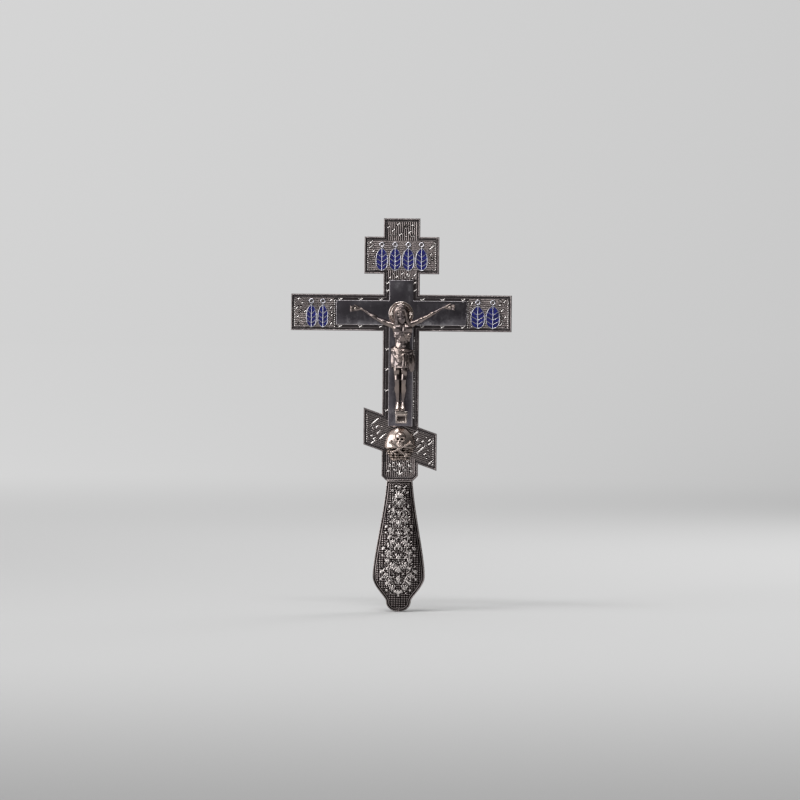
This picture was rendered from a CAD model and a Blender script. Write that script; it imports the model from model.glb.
import math
import random

import bpy
import numpy as np
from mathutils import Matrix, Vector, kdtree, noise


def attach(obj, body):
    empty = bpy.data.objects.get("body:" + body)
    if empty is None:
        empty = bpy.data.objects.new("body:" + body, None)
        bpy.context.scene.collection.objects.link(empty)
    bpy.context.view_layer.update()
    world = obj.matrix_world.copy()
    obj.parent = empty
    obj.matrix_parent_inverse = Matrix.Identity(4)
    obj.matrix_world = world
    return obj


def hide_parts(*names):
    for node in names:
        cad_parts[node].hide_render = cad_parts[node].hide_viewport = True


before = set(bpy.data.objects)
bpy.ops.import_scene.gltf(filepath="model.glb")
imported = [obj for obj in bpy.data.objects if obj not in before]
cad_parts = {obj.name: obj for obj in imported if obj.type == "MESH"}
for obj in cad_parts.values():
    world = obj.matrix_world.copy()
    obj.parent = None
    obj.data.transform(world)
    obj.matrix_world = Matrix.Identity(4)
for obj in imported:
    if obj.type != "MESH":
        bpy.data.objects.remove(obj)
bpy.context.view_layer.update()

mm = 0.001  # sizes and places are in millimetres

# Sizes that the frame fixes, in millimetres. "out" is towards the front, which is -Y.
crossSize = {
    "faceOut": 2.5,
    "groundOut": 1.7,
    "overlayOut": 3.1,
    "crossMiddle": 178.0,
    "crossHalfHeight": 13.95,
    "crossHalfLength": 84.2,
    "slantMiddle": 81.7,
    "slantHalfHeight": 14.1,
    "slantHalfLength": 28.0,
    "slope": 0.35,
    "upperBottom": 207.65,
    "upperTop": 235.95,
    "upperHalfLength": 28.5,
    "top": 250.05,
    "uprightHalf": 13.85,
    "neck": 50.0,
    "overlayHalf": 49.8,
    "overlayTop": 203.05,
    "overlaySide": 9.25,
    "border": 2.8,
    "figureX": 1.2,  # the figure sits a little right of the axis
}


def spot(x, out, z):
    return Vector((x, -out, z)) * mm


def only(*pieces):
    if bpy.context.object and bpy.context.object.mode != "OBJECT":
        bpy.ops.object.mode_set(mode="OBJECT")
    bpy.ops.object.select_all(action="DESELECT")
    for piece in pieces:
        piece.select_set(True)
    if pieces:
        bpy.context.view_layer.objects.active = pieces[0]


def joined(pieces):
    only(*pieces)
    if len(pieces) > 1:
        bpy.ops.object.join()
    bpy.ops.object.transform_apply(location=True, rotation=True, scale=True)
    return pieces[0]


def shaped(piece, kind, **settings):
    only(piece)
    modifier = piece.modifiers.new(kind.title(), kind)
    for key, value in settings.items():
        setattr(modifier, key, value)
    bpy.ops.object.modifier_apply(modifier=modifier.name)
    return piece


def cleaned(piece, gap=0.01):
    only(piece)
    bpy.ops.object.mode_set(mode="EDIT")
    bpy.ops.mesh.select_all(action="SELECT")
    bpy.ops.mesh.remove_doubles(threshold=gap * mm)
    bpy.ops.mesh.normals_make_consistent(inside=False)
    bpy.ops.object.mode_set(mode="OBJECT")
    return piece


def settle(piece, name, finish, replaced=(), smooth=40):
    joined([piece])
    bpy.ops.object.shade_smooth_by_angle(angle=math.radians(smooth))
    piece.name = piece.data.name = name
    piece.data.materials.clear()
    piece.data.materials.append(finish)
    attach(piece, "root")
    if replaced:
        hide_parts(*replaced)


def readPlaces(piece, what="co"):
    values = np.zeros(len(piece.data.vertices) * 3, np.float32)
    if what == "co":
        piece.data.vertices.foreach_get("co", values)
    else:
        piece.data.vertex_normals.foreach_get("vector", values)
    return values.reshape(-1, 3).astype(float)


def writePlaces(piece, places):
    piece.data.vertices.foreach_set("co", places.astype(np.float32).ravel())
    piece.data.update()


# A soft round: an ellipsoid, tilted in the picture plane.
def blob(x, out, z, wide, deep, high, tilt=0, segments=20):
    bpy.ops.mesh.primitive_uv_sphere_add(
        segments=segments, ring_count=max(6, segments // 2), radius=mm, location=spot(x, out, z),
        rotation=(0, math.radians(tilt), 0),
    )
    piece = bpy.context.object
    piece.scale = (wide, deep, high)
    return joined([piece])


wireLook = {"steps": 5, "sides": 2}


# A round bar drawn through points; each is (x, out, z) with an optional share of the thickness.
def wire(points, thick):
    bpy.ops.curve.primitive_nurbs_path_add()
    piece = bpy.context.object
    curve = piece.data
    curve.splines.clear()
    spline = curve.splines.new("NURBS")
    spline.points.add(len(points) - 1)
    for point, place in zip(spline.points, points):
        point.co = (*spot(*place[:3]), 1)
        point.radius = place[3] if len(place) > 3 else 1
    spline.use_endpoint_u = True
    spline.order_u = min(4, len(points))
    spline.resolution_u = wireLook["steps"]
    curve.bevel_depth = thick * mm
    curve.bevel_resolution = wireLook["sides"]
    curve.use_fill_caps = True
    only(piece)
    bpy.ops.object.convert(target="MESH")
    return bpy.context.object


def blobs(*rows):
    return [blob(*row) for row in rows]


# Round bars from rows that hold a thickness and then the points.
def wires(*rows):
    return [wire(points, thick) for thick, *points in rows]


# Puts a piece that is modelled at the middle in its first place (x, z), and copies in the others.
def spread(piece, places):
    made = [piece]
    for _ in places[1:]:
        only(piece)
        bpy.ops.object.duplicate()
        made.append(bpy.context.object)
    for part, (x, z) in zip(made, places):
        part.location = spot(x, 0, z)
        joined([part])
    return made


# Starts a filled ring, which stays in edit mode.
def startRing(place, radius, turn, sides):
    bpy.ops.mesh.primitive_circle_add(
        vertices=sides, radius=radius * mm, fill_type="NGON", location=place, rotation=turn
    )
    bpy.ops.object.transform_apply(location=True, rotation=True, scale=True)
    bpy.ops.object.mode_set(mode="EDIT")
    bpy.ops.mesh.select_all(action="SELECT")
    return bpy.context.object


def drawRing(here, there, grow):
    bpy.ops.mesh.extrude_region_move(TRANSFORM_OT_translate={"value": there - here})
    bpy.ops.transform.resize(value=grow, center_override=there)
    return there


def endRing():
    bpy.ops.mesh.select_all(action="SELECT")
    bpy.ops.mesh.normals_make_consistent(inside=False)
    bpy.ops.object.mode_set(mode="OBJECT")


# A limb: a ring that is extruded from section to section and then subdivided.
# Each section is (x, out, z, half width, half depth); the rings lie across the axis "along".
def limb(sections, along="z", sides=12):
    def share(section, before):
        wide, deep = (now / last for now, last in zip(section[3:5], before))
        return {"x": (1, deep, wide), "z": (wide, deep, 1)}[along]

    here = spot(*sections[0][:3])
    piece = startRing(here, 1, (0, math.pi / 2 if along == "x" else 0, 0), sides)
    bpy.ops.transform.resize(value=share(sections[0], (1, 1)), center_override=here)
    for before, section in zip(sections, sections[1:]):
        here = drawRing(here, spot(*section[:3]), share(section, before[3:5]))
    endRing()
    return shaped(piece, "SUBSURF", levels=2, render_levels=2)


# A turned piece whose axis points out; the profile is (radius, out), the back first.
def turnedPiece(profile, x, z, sides):
    radius, out = profile[0]
    here = spot(x, out, z)
    piece = startRing(here, radius, (math.pi / 2, 0, 0), sides)
    for (before, _), (radius, out) in zip(profile, profile[1:]):
        grow = radius / before
        here = drawRing(here, spot(x, out, z), (grow, 1, grow))
    endRing()
    return piece


# Melts joined forms into one skin.
def melted(pieces, voxel, relax):
    piece = joined(pieces)
    shaped(piece, "REMESH", mode="VOXEL", voxel_size=voxel * mm)
    return shaped(piece, "SMOOTH", factor=0.5, iterations=relax)


# Strokes of the relief are lists of (x, z, radius).
def smoothThrough(points, steps=10):
    points = [np.array(point, float) for point in points]
    ends = [2 * points[0] - points[1], *points, 2 * points[-1] - points[-2]]
    made = []
    for a, b, c, d in zip(ends, ends[1:], ends[2:], ends[3:]):
        for i in range(steps):
            t = i / steps
            bend = (2 * a - 5 * b + 4 * c - d) * t * t
            twist = (3 * b - a - 3 * c + d) * t ** 3
            made.append(0.5 * (2 * b + (c - a) * t + bend + twist))
    return [*made, points[-1]]


def stem(points, thick, thin=0.5):
    path = smoothThrough(points)
    last = len(path) - 1
    return [
        (x, z, thick * (thin + (1 - thin) * math.sin(math.pi * i / last)))
        for i, (x, z) in enumerate(path)
    ]


def spiral(x, z, start, turns, outer, thick, hand=1):
    count = int(28 * turns)
    made = []
    for i in range(count + 1):
        t = i / count
        angle = math.radians(start) + hand * 2 * math.pi * turns * t
        reach = outer * (1 - 0.86 * t)
        made.append((x + reach * math.cos(angle), z + reach * math.sin(angle), thick * (1 - 0.45 * t)))
    return [*made, (x, z, 1.35 * thick)]


def leaf(x, z, angle, length, wide):
    turn = math.radians(angle)
    made = []
    for i in range(9):
        t = i / 8
        reach = length * t
        radius = wide * math.sin(math.pi * (0.12 + 0.8 * t)) ** 0.8
        made.append((x + reach * math.cos(turn), z + reach * math.sin(turn), radius))
    return made


def mirrored(strokes):
    return [[(-x, z, r) for x, z, r in stroke] for stroke in strokes]


def treeOf(places):
    tree = kdtree.KDTree(len(places))
    for i, (x, z) in enumerate(places):
        tree.insert((x, z, 0), i)
    tree.balance()
    return tree


# Height of a chased ground with raised strokes, at the places x, z.
def chased(x, z, strokes, look, across):
    turns = across / look["pitch"]
    ribs = look["rib"] * np.sqrt(np.clip(1 - (2 * ((turns % 1) - 0.5) / look["share"]) ** 2, 0, 1))
    points = [point for stroke in strokes for point in stroke]
    tree = treeOf([point[:2] for point in points])
    rise = np.zeros(len(x))
    clear = np.full(len(x), look["farOff"])
    for i, (a, b) in enumerate(zip(x, z)):
        for _, k, distance in tree.find_n((a, b, 0), look["nearest"]):
            radius = points[k][2]
            clear[i] = min(clear[i], distance - radius)
            if distance < radius:
                crown = look["round"] * math.sqrt(radius * radius - distance * distance)
                rise[i] = max(rise[i], look["lift"] + crown)
    fade = np.clip(clear / look["moat"], 0, 1)
    return np.where(rise > 0, rise, ribs * fade)


def tone(red, green, blue):
    def straight(value):
        value /= 255
        return value / 12.92 if value <= 0.04045 else ((value + 0.055) / 1.055) ** 2.4
    return (straight(red), straight(green), straight(blue), 1)


class Signal:  # one value in a finish; expressions on it add Math nodes
    def __init__(self, finish, socket):
        self.finish, self.socket = finish, socket

    def maths(self, operation, first, second):
        return self.finish.node("Math", {"operation": operation}, {0: first, 1: second})

    def __add__(self, other):
        return self.maths("ADD", self, other)

    def __radd__(self, other):
        return self.maths("ADD", other, self)

    def __sub__(self, other):
        return self.maths("SUBTRACT", self, other)

    def __rsub__(self, other):
        return self.maths("SUBTRACT", other, self)

    def __mul__(self, other):
        return self.maths("MULTIPLY", self, other)

    def __rmul__(self, other):
        return self.maths("MULTIPLY", other, self)


class Finish:
    def __init__(self, name, tree=None):
        if not tree:
            self.material = bpy.data.materials.new(name)
            self.material.use_nodes = True
            tree = self.material.node_tree
        self.tree = tree
        self.tree.nodes.clear()
        self.place = self.node("TexCoord", output="Object")

    def node(self, kind, settings=None, values=None, output=0):
        made = self.tree.nodes.new("ShaderNode" + kind)
        for key, value in (settings or {}).items():
            setattr(made, key, value)
        for key, value in (values or {}).items():
            if isinstance(value, Signal):
                self.tree.links.new(value.socket, made.inputs[key])
            else:
                made.inputs[key].default_value = value
        return Signal(self, made.outputs[output])

    def blend(self, share, first, second):
        return self.node("Mix", {"data_type": "RGBA"}, {0: share, 6: first, 7: second}, 2)

    def between(self, value, low, high):
        return self.node(
            "MapRange", {"interpolation_type": "SMOOTHSTEP"},
            {"Value": value, "From Min": low, "From Max": high},
        )

    def cloud(self, size, detail=3, rough=0.55, stretch=(1, 1, 1)):
        scale = tuple(s / (size * mm) for s in stretch)
        place = self.node("Mapping", {}, {"Vector": self.place, "Scale": scale})
        values = {"Vector": place, "Scale": 1.0, "Detail": detail, "Roughness": rough}
        return self.node("TexNoise", {}, values)

    # -1 on what faces the front and 1 on what faces the back.
    def turned(self):
        normal = self.node("NewGeometry", {}, {}, "Normal")
        return self.node("SeparateXYZ", {}, {"Vector": normal}, "Y")

    # 1 on the rounded edges of a plate that faces the front or the back, 0 on its faces and walls.
    def edges(self):
        facing = self.node("Math", {"operation": "ABSOLUTE"}, {0: self.turned()})
        return (1 - self.between(facing, 0.72, 0.98)) * self.between(facing, 0.02, 0.3)

    # 1 on what faces the front, 0 on the sides and the back.
    def frontal(self):
        return self.between(self.turned() * -1, 0.5, 0.85)

    def bump(self, height, distance, normal=None):
        values = {"Height": height, "Distance": distance * mm, "Strength": 1.0}
        if normal:
            values["Normal"] = normal
        return self.node("Bump", {}, values)

    def surface(self, values, metal=True):
        shader = self.node("BsdfPrincipled", {}, {"Metallic": 1.0 if metal else 0.0, **values})
        output = self.tree.nodes.new("ShaderNodeOutputMaterial")
        self.tree.links.new(shader.socket, output.inputs["Surface"])
        return self.material


# Plated metal: polished where it is touched, darkened in its hollows. A chased piece carries its
# own height as the attribute "worn"; "rise" takes the height from the distance out instead.
def platedMetal(name, look):
    finish = Finish(name)
    shelter = finish.node("AmbientOcclusion", {"samples": 8}, {"Distance": look["hollow"] * mm}, "AO")
    drift = finish.cloud(look["patch"], 4, 0.6)
    specks = finish.cloud(0.4, 2, 0.7)
    worn = finish.between(shelter + (drift - 0.5) * look["drift"], look["dark"], look["clean"])
    skin = finish.blend(finish.between(drift, 0.3, 0.7), look["colour"], look["second"])
    if look.get("chased"):
        height = finish.node("Attribute", {"attribute_name": "worn"}, {}, "Fac")
        height = height + (specks - 0.5) * look["fray"]
        worn = worn * finish.between(height, look["ribLow"], look["ribTop"])
        skin = finish.blend(finish.between(height, look["ribTop"], look["crest"]), skin, look["bright"])
    if look.get("rise"):
        out = finish.node("SeparateXYZ", {}, {"Vector": finish.place}, "Y") * (-1 / mm)
        low = 1 - finish.between(out + (specks - 0.5) * look["fray"], *look["rise"])
        worn = worn * (1 - low * finish.frontal())
    if look.get("edged"):
        skin = finish.blend(finish.edges() * look["edged"], skin, look["bright"])
    skin = finish.blend(finish.between(specks, 0.62, 0.8) * look["specks"], skin, look["tarnish"])
    colour = finish.blend(worn, look["tarnish"], skin)
    roughness = look["rough"] + (1 - worn) * look["dull"] + (drift - 0.5) * look["smear"]
    fine = finish.cloud(look["grain"], 3, 0.6)
    normal = finish.bump(fine, look["grainDepth"])
    return finish.surface({"Base Color": colour, "Roughness": roughness, "Normal": normal})


# Soft round patches on a face that looks to the front; each is (x, z, wide, high).
def patches(finish, places):
    def patch(x, z, wide, high):
        near = finish.node("Mapping", {}, {
            "Vector": finish.place, "Location": (-x / wide, 0, -z / high),
            "Scale": (1 / (wide * mm), 0, 1 / (high * mm)),
        })
        reach = finish.node("VectorMath", {"operation": "LENGTH"}, {0: near}, "Value")
        return 1 - finish.between(reach, 0.0, 1.0)

    return sum(patch(*place) for place in places)


def polishedPlate(name, look):
    finish = Finish(name)
    drift = finish.cloud(look["patch"], 4, 0.55)
    smear = finish.cloud(4, 5, 0.62, (1, 1, 0.45))
    lines = finish.cloud(0.5, 2, 0.5, (1, 1, 0.06))
    colour = finish.blend(finish.between(drift, 0.32, 0.68), look["colour"], look["second"])
    colour = finish.blend(finish.between(smear, 0.52, 0.78) * 0.5, colour, look["bloom"])
    haze = patches(finish, look["hazy"]) * finish.between(finish.cloud(7, 5, 0.68), 0.36, 0.66)
    colour = finish.blend(haze * 0.8, colour, look["haze"])
    colour = finish.blend(finish.edges() * 0.85, colour, look["edge"])
    roughness = look["rough"] + finish.between(smear, 0.45, 0.8) * look["smear"] + haze * 0.2
    normal = finish.bump(drift, look["wave"])
    normal = finish.bump(lines, look["line"], normal)
    return finish.surface({"Base Color": colour, "Roughness": roughness, "Normal": normal})


def glassEnamel(name, look):
    finish = Finish(name)
    pool = finish.cloud(2.6, 3, 0.5)
    depth = finish.cloud(0.7, 2, 0.6)
    colour = finish.blend(finish.between(pool, 0.3, 0.7), look["deep"], look["colour"])
    colour = finish.blend(finish.between(depth, 0.66, 0.8) * 0.4, colour, look["pale"])
    normal = finish.bump(pool, look["wave"])
    return finish.surface(
        {
            "Base Color": colour, "Roughness": look["rough"], "Normal": normal,
            "IOR": 1.55, "Coat Weight": 1.0, "Coat Roughness": 0.04,
        },
        metal=False,
    )


bodyLook = {
    "colour": tone(172, 164, 164), "second": tone(146, 138, 139), "tarnish": tone(38, 33, 34),
    "bright": tone(226, 219, 215), "hollow": 1.3, "patch": 9, "drift": 0.25, "dark": 0.3, "clean": 0.8,
    "specks": 0.35, "fray": 0.35, "rough": 0.2, "dull": 0.32, "smear": 0.1, "grain": 0.5, "grainDepth": 0.02,
}
chasedLook = {
    **bodyLook, "chased": True, "colour": tone(144, 134, 132), "second": tone(110, 102, 102),
    "tarnish": tone(20, 16, 16), "bright": tone(250, 244, 241), "ribLow": 0.2, "ribTop": 0.5, "crest": 0.8,
    "hollow": 0.8, "fray": 0.2, "rough": 0.15,
}
darkSilver = platedMetal("dark silver", {
    **bodyLook, "tarnish": tone(52, 47, 48), "rise": (1.6, 2.2), "edged": 1.0, "hollow": 0.9,
})
chasedSilver = platedMetal("chased silver", chasedLook)
gripSilver = platedMetal("grip silver", {
    **chasedLook, "colour": tone(158, 148, 146), "second": tone(126, 117, 116), "bright": tone(212, 205, 202),
    "ribLow": 0.24, "ribTop": 0.48, "crest": 0.86, "fray": 0.36, "grain": 0.8, "grainDepth": 0.04,
    "drift": 0.12, "patch": 14,
})
rimSilver = platedMetal("rim silver", {
    **bodyLook, "colour": tone(150, 142, 141), "second": tone(120, 112, 112), "hollow": 0.5, "rough": 0.24,
    "specks": 0.3,
})
brightSilver = platedMetal("bright silver", {
    **bodyLook, "colour": tone(248, 243, 240), "second": tone(226, 219, 216), "hollow": 0.5, "rough": 0.2,
    "specks": 0.15,
})
warmLook = {
    **bodyLook, "colour": tone(152, 138, 131), "second": tone(112, 103, 103), "tarnish": tone(18, 14, 13),
    "bright": tone(232, 216, 208), "hollow": 2.0, "rough": 0.13, "dull": 0.28, "specks": 0.25, "grain": 0.8,
    "grainDepth": 0.014, "dark": 0.42, "clean": 0.94,
}
warmSilver = platedMetal("warm silver", warmLook)
haloSilver = platedMetal("halo silver", {
    **warmLook, "colour": tone(200, 186, 178), "second": tone(166, 152, 145), "bright": tone(250, 240, 234),
    "edged": 0.95, "hollow": 0.7, "dark": 0.3, "clean": 0.8, "specks": 0.1,
})
footrestSilver = platedMetal("footrest silver", {
    **warmLook, "colour": tone(206, 191, 183), "second": tone(180, 166, 158), "bright": tone(244, 234, 228),
    "tarnish": tone(84, 75, 73), "edged": 0.8, "rise": (8.2, 9.8), "hollow": 0.5, "dark": 0.2, "clean": 0.7,
    "specks": 0.1, "rough": 0.22,
})
moundSilver = platedMetal("mound silver", {
    **warmLook, "chased": True, "colour": tone(172, 158, 150), "second": tone(140, 126, 117),
    "tarnish": tone(40, 29, 23), "ribLow": 0.0, "ribTop": 0.5, "crest": 0.95, "rough": 0.22, "hollow": 1.8,
    "fray": 0.15, "grain": 0.7,
})
cellSilver = platedMetal("cell silver", {
    **bodyLook, "colour": tone(230, 228, 234), "second": tone(208, 206, 214), "hollow": 0.4, "rough": 0.16,
    "specks": 0.15,
})
pinSilver = platedMetal("pin silver", {
    **bodyLook, "colour": tone(212, 198, 190), "second": tone(190, 176, 168), "hollow": 0.7,
})
polishedSilver = polishedPlate("polished silver", {
    "colour": tone(132, 127, 134), "second": tone(106, 101, 108), "bloom": tone(166, 160, 164),
    "edge": tone(224, 218, 220), "haze": tone(186, 183, 188), "patch": 12, "rough": 0.1, "smear": 0.12,
    "wave": 0.05, "line": 0.004, "hazy": (
        (-35, 170, 14, 8), (-20, 168, 8, 6), (33, 171, 18, 8), (20, 169, 8, 6), (38, 184, 12, 5),
        (6.4, 196, 3.4, 15), (-2, 199, 6, 6), (-4, 96, 5, 10),
    ),
})
cobaltEnamel = glassEnamel("cobalt enamel", {
    "colour": tone(26, 32, 116), "deep": tone(12, 15, 72), "pale": tone(64, 72, 150), "wave": 0.05,
    "rough": 0.12,
})
print("finishes made")


# The body and the overlay are the frame's own shapes with their edges rounded, so that they
# catch the light as cast and polished edges do.
edgeLook = {"body": 0.2, "overlay": 0.14, "flat": 1.0, "sharp": 30.0, "segments": 3, "smooth": 11}


def rounded(node, name, width, finish):
    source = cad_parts[node]
    piece = source.copy()
    piece.data = source.data.copy()
    bpy.context.collection.objects.link(piece)
    cleaned(piece, 0.003)
    bpy.ops.object.mode_set(mode="EDIT")
    bpy.ops.mesh.select_all(action="SELECT")
    bpy.ops.mesh.dissolve_limited(angle_limit=math.radians(edgeLook["flat"]))
    bpy.ops.object.mode_set(mode="OBJECT")
    shaped(
        piece, "BEVEL", width=width * mm, segments=edgeLook["segments"], limit_method="ANGLE",
        angle_limit=math.radians(edgeLook["sharp"]), use_clamp_overlap=True,
    )
    settle(piece, name, finish, (node,), edgeLook["smooth"])


rounded("cross_body", "cast_body", edgeLook["body"], darkSilver)
rounded("overlay_cross", "polished_cross", edgeLook["overlay"], polishedSilver)
print("body and overlay rounded")

fieldLook = {
    "pitch": 1.5, "rib": 0.36, "share": 0.84, "lift": 0.24, "round": 0.8, "moat": 0.5, "over": 0.03,
    "step": 0.2, "sink": 0.4, "crest": 0.62, "streak": 0.54, "rising": 41, "bud": 0.46, "nearest": 4,
    "farOff": 9.0, "topLow": 233.25, "upperHigh": 233.15, "footCut": 1.86, "gap": 0.1,
}


# Keeps the height of the relief, from 0 in its ground to 1 on its crests, for the finish.
def keepWorn(piece, worn):
    layer = piece.data.attributes.new("worn", "FLOAT", "POINT")
    layer.data.foreach_set("value", np.clip(worn, 0, 1).astype(np.float32))


# Gives a sheet a wall and a flat back, which lies at some distance out.
def closeBehind(piece, out):
    only(piece)
    bpy.ops.object.mode_set(mode="EDIT")
    bpy.ops.mesh.select_mode(type="EDGE")
    bpy.ops.mesh.select_all(action="DESELECT")
    bpy.ops.mesh.select_non_manifold()
    bpy.ops.mesh.extrude_region_move(TRANSFORM_OT_translate={"value": (0, 0.5 * mm, 0)})
    bpy.ops.transform.resize(value=(1, 0, 1), center_override=spot(0, out, 0))
    bpy.ops.mesh.edge_face_add()
    bpy.ops.mesh.select_mode(type="VERT")
    bpy.ops.object.mode_set(mode="OBJECT")


# A field from left to right; low(x) and high(x) are its lower and upper edges.
def field(name, left, right, low, high, strokes, upright=False, slope=0):
    step = fieldLook["step"]
    cols = round((right - left) / step)
    rows = round((high(0) - low(0)) / step)
    bpy.ops.mesh.primitive_grid_add(x_subdivisions=cols, y_subdivisions=rows, size=mm)
    piece = bpy.context.object
    places = readPlaces(piece) / mm + 0.5
    x = left + places[:, 0] * (right - left)
    z = low(x) + places[:, 1] * (high(x) - low(x))
    across = x if upright else z + slope * x
    rise = chased(x, z, strokes, fieldLook, across)
    out = crossSize["groundOut"] + fieldLook["over"] + rise
    writePlaces(piece, np.stack([x, -out, z], 1) * mm)
    keepWorn(piece, rise / fieldLook["crest"])
    closeBehind(piece, crossSize["groundOut"] - fieldLook["sink"])
    settle(piece, name, chasedSilver, smooth=60)


def flat(value):
    return lambda x: value + 0 * x


# A small leaf by its middle; most of them rise to the right.
def sprig(x, z, length, wide=fieldLook["streak"], angle=fieldLook["rising"]):
    turn = math.radians(angle)
    half = length / 2
    return leaf(x - half * math.cos(turn), z - half * math.sin(turn), angle, length, wide)


def sprigs(*places):
    return [sprig(*place) for place in places]


def curls(*places):
    return [spiral(*place) for place in places]


def buds(*places):
    return [[(x, z, fieldLook["bud"])] for x, z in places]


def rosette(x, z, size, petals=6):
    made = [[(x, z, 0.26 * size)]]
    root = 0.34 * size
    for k in range(petals):
        turn = 2 * math.pi * (k + 0.25) / petals
        start = x + root * math.cos(turn), z + root * math.sin(turn)
        made.append(leaf(*start, math.degrees(turn), 0.62 * size, 0.19 * size))
    return made


# Leaves that spread from one point, the middle one the longest.
def fan(x, z, angle, size, count=5, spread=34):
    made = []
    for k in range(count):
        off = k - (count - 1) / 2
        length = size * (1 - 0.13 * abs(off))
        made.append(leaf(x, z, angle + spread * off, length, 0.13 * size + 0.08))
    return made


border = crossSize["border"]
inner = crossSize["uprightHalf"] - border
topStrokes = sprigs(
    (-10.2, 243.4, 3), (-2.6, 245.7, 3), (-6.4, 241, 3), (-1, 237.8, 3), (6.2, 239.6, 3.2), (8.2, 244.8, 1.8),
)
topStrokes += buds((9.6, 242.6), (2.4, 242.4), (-8.4, 237.2), (3.2, 236), (9.4, 236.6))
topStrokes += curls(
    (-5.4, 236.6, 20, 0.9, 1.7, 0.24), (3.8, 244.4, 200, 0.9, 1.5, 0.24),
    (7.4, 236.4, 60, 0.8, 1.4, 0.24, -1),
)
topHigh = crossSize["top"] - border
field("top_field", -inner, inner, flat(fieldLook["topLow"]), flat(topHigh), topStrokes, upright=True)

upperX = crossSize["upperHalfLength"] - border
upperLow = crossSize["upperBottom"] + border
cornerStrokes = sprigs(
    (-23.3, 231.9, 2.8), (-23.4, 228.4, 4.4, 0.55), (23.2, 228.3, 6.0, 0.6), (-21.6, 224.9, 1.8),
    (22.4, 222.6, 1.6),
)
cornerStrokes += buds(
    (-23.2, 211.2), (23.4, 211.2), (-21.4, 215.4), (21.4, 216), (-20.9, 220.4), (24.9, 231.4),
)
cornerStrokes += curls((-23.4, 218.6, 80, 0.9, 1.5, 0.24), (23.4, 218.8, 100, 0.9, 1.5, 0.24, -1))
field("upper_field", -upperX, upperX, flat(upperLow), flat(fieldLook["upperHigh"]), cornerStrokes)

linkStrokes = sprigs(
    (-3.4, 205.6, 2.6), (10.2, 206.8, 2.4), (0.8, 208, 2.4), (-8.6, 205, 1.8), (3.2, 204.6, 2.2, 0.4, -40),
)
linkStrokes += curls((5.8, 206.6, 120, 0.8, 1.8, 0.42)) + buds((-6.2, 207.6), (-1, 204.4), (8.2, 204.4))
linkLow, linkHigh = crossSize["overlayTop"] + 0.5, upperLow - fieldLook["gap"]
field("link_field", -inner, inner, flat(linkLow), flat(linkHigh), linkStrokes, upright=True)

armLow = crossSize["crossMiddle"] - crossSize["crossHalfHeight"] + border
armHigh = crossSize["crossMiddle"] + crossSize["crossHalfHeight"] - border
farX = crossSize["crossHalfLength"] - border
nearX = crossSize["overlayHalf"] + 2.0
leftStrokes = sprigs(
    (-78.4, 188.3, 2.2), (-79.6, 181.3, 2.4), (-52.9, 175.9, 1.8, 0.4), (-53.6, 181.5, 2),
    (-53.6, 187.2, 2.2), (-53.4, 169.4, 2), (-75.4, 185.2, 1.8), (-73.6, 178.6, 1.6), (-79, 174.6, 2),
)
leftStrokes += buds((-77.3, 167.7), (-76.7, 171.5), (-76.6, 182), (-73.4, 168.6), (-53.2, 177.9))
leftStrokes += curls((-77, 177.6, 40, 0.9, 1.6, 0.24), (-78, 170.4, 250, 0.9, 1.4, 0.24, -1))
field("left_field", -farX, -nearX, flat(armLow), flat(armHigh), leftStrokes)

rightStrokes = sprigs(
    (79, 187.5, 2.8), (77.1, 180.6, 2.8), (75.9, 169.6, 2.4), (54.1, 172.2, 2.4), (53.9, 185.6, 2),
    (79.4, 175.2, 2), (75.4, 184.6, 1.6), (53.6, 178.8, 1.8),
)
rightStrokes += buds((54.2, 181.8), (79.6, 166.8), (77, 173.2), (75.4, 188), (54, 168.2))
rightStrokes += curls((78.2, 170.8, 120, 0.9, 1.5, 0.24), (76.4, 176.4, 300, 0.9, 1.5, 0.24, -1))
field("right_field", nearX, farX, flat(armLow), flat(armHigh), rightStrokes)

slantRise = crossSize["slantHalfHeight"] - border * math.hypot(1, crossSize["slope"])
slantX = crossSize["slantHalfLength"] - border


def slantLow(x):
    return crossSize["slantMiddle"] - slantRise - crossSize["slope"] * x


def slantHigh(x):
    return crossSize["slantMiddle"] + slantRise - crossSize["slope"] * x


slantStrokes = sprigs(
    (-18.7, 95.5, 7.4, 0.75), (-13.2, 83.8, 7.8, 0.72), (-17.4, 91.3, 2.6, 0.6), (-20.3, 79.5, 4.8, 0.7),
    (-16.4, 86.8, 3.4), (-21.6, 84.4, 2.2), (-19.6, 82.2, 3), (12.2, 86.5, 7.2, 0.75), (16.2, 74, 8.8, 0.78),
    (23, 78.6, 3.6, 0.65), (22.6, 81, 2.4), (23, 63.6, 4, 0.7), (14.4, 76.4, 4.4, 0.6), (13.2, 81.4, 2.4),
    (19, 70.4, 2.2), (17.4, 80, 2.2),
)
slantStrokes += buds((-22, 88), (-14.2, 91.2), (20, 83), (21.6, 73.4), (13.6, 70.6), (20.4, 67), (9.6, 82))
slantStrokes += curls(
    (-21, 90.6, 100, 0.9, 1.7, 0.26), (19.2, 77.2, 60, 0.9, 1.6, 0.26, -1), (21.6, 69.6, 200, 0.9, 1.5, 0.26),
)
field("slant_field", -slantX, slantX, slantLow, slantHigh, slantStrokes, slope=crossSize["slope"])

neckStrokes = curls((4.2, 58.4, 60, 1.0, 2.5, 0.34)) + rosette(4.2, 58.4, 1.3, 5)
neckStrokes += fan(6.8, 60.6, 50, 2.6, 3) + fan(8.4, 56.4, 70, 2.2, 3)
neckStrokes += mirrored(neckStrokes) + fan(0, 54.2, 90, 3.6, 3, 44) + fan(0, 60.4, 90, 3.6, 3)
neckStrokes += sprigs((-4.4, 63.8, 2.6), (0.6, 66, 2.2), (6.4, 65.4, 2.6))
neckStrokes += buds((-8.2, 62.6), (8.6, 63), (3.2, 63.8))


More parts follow.
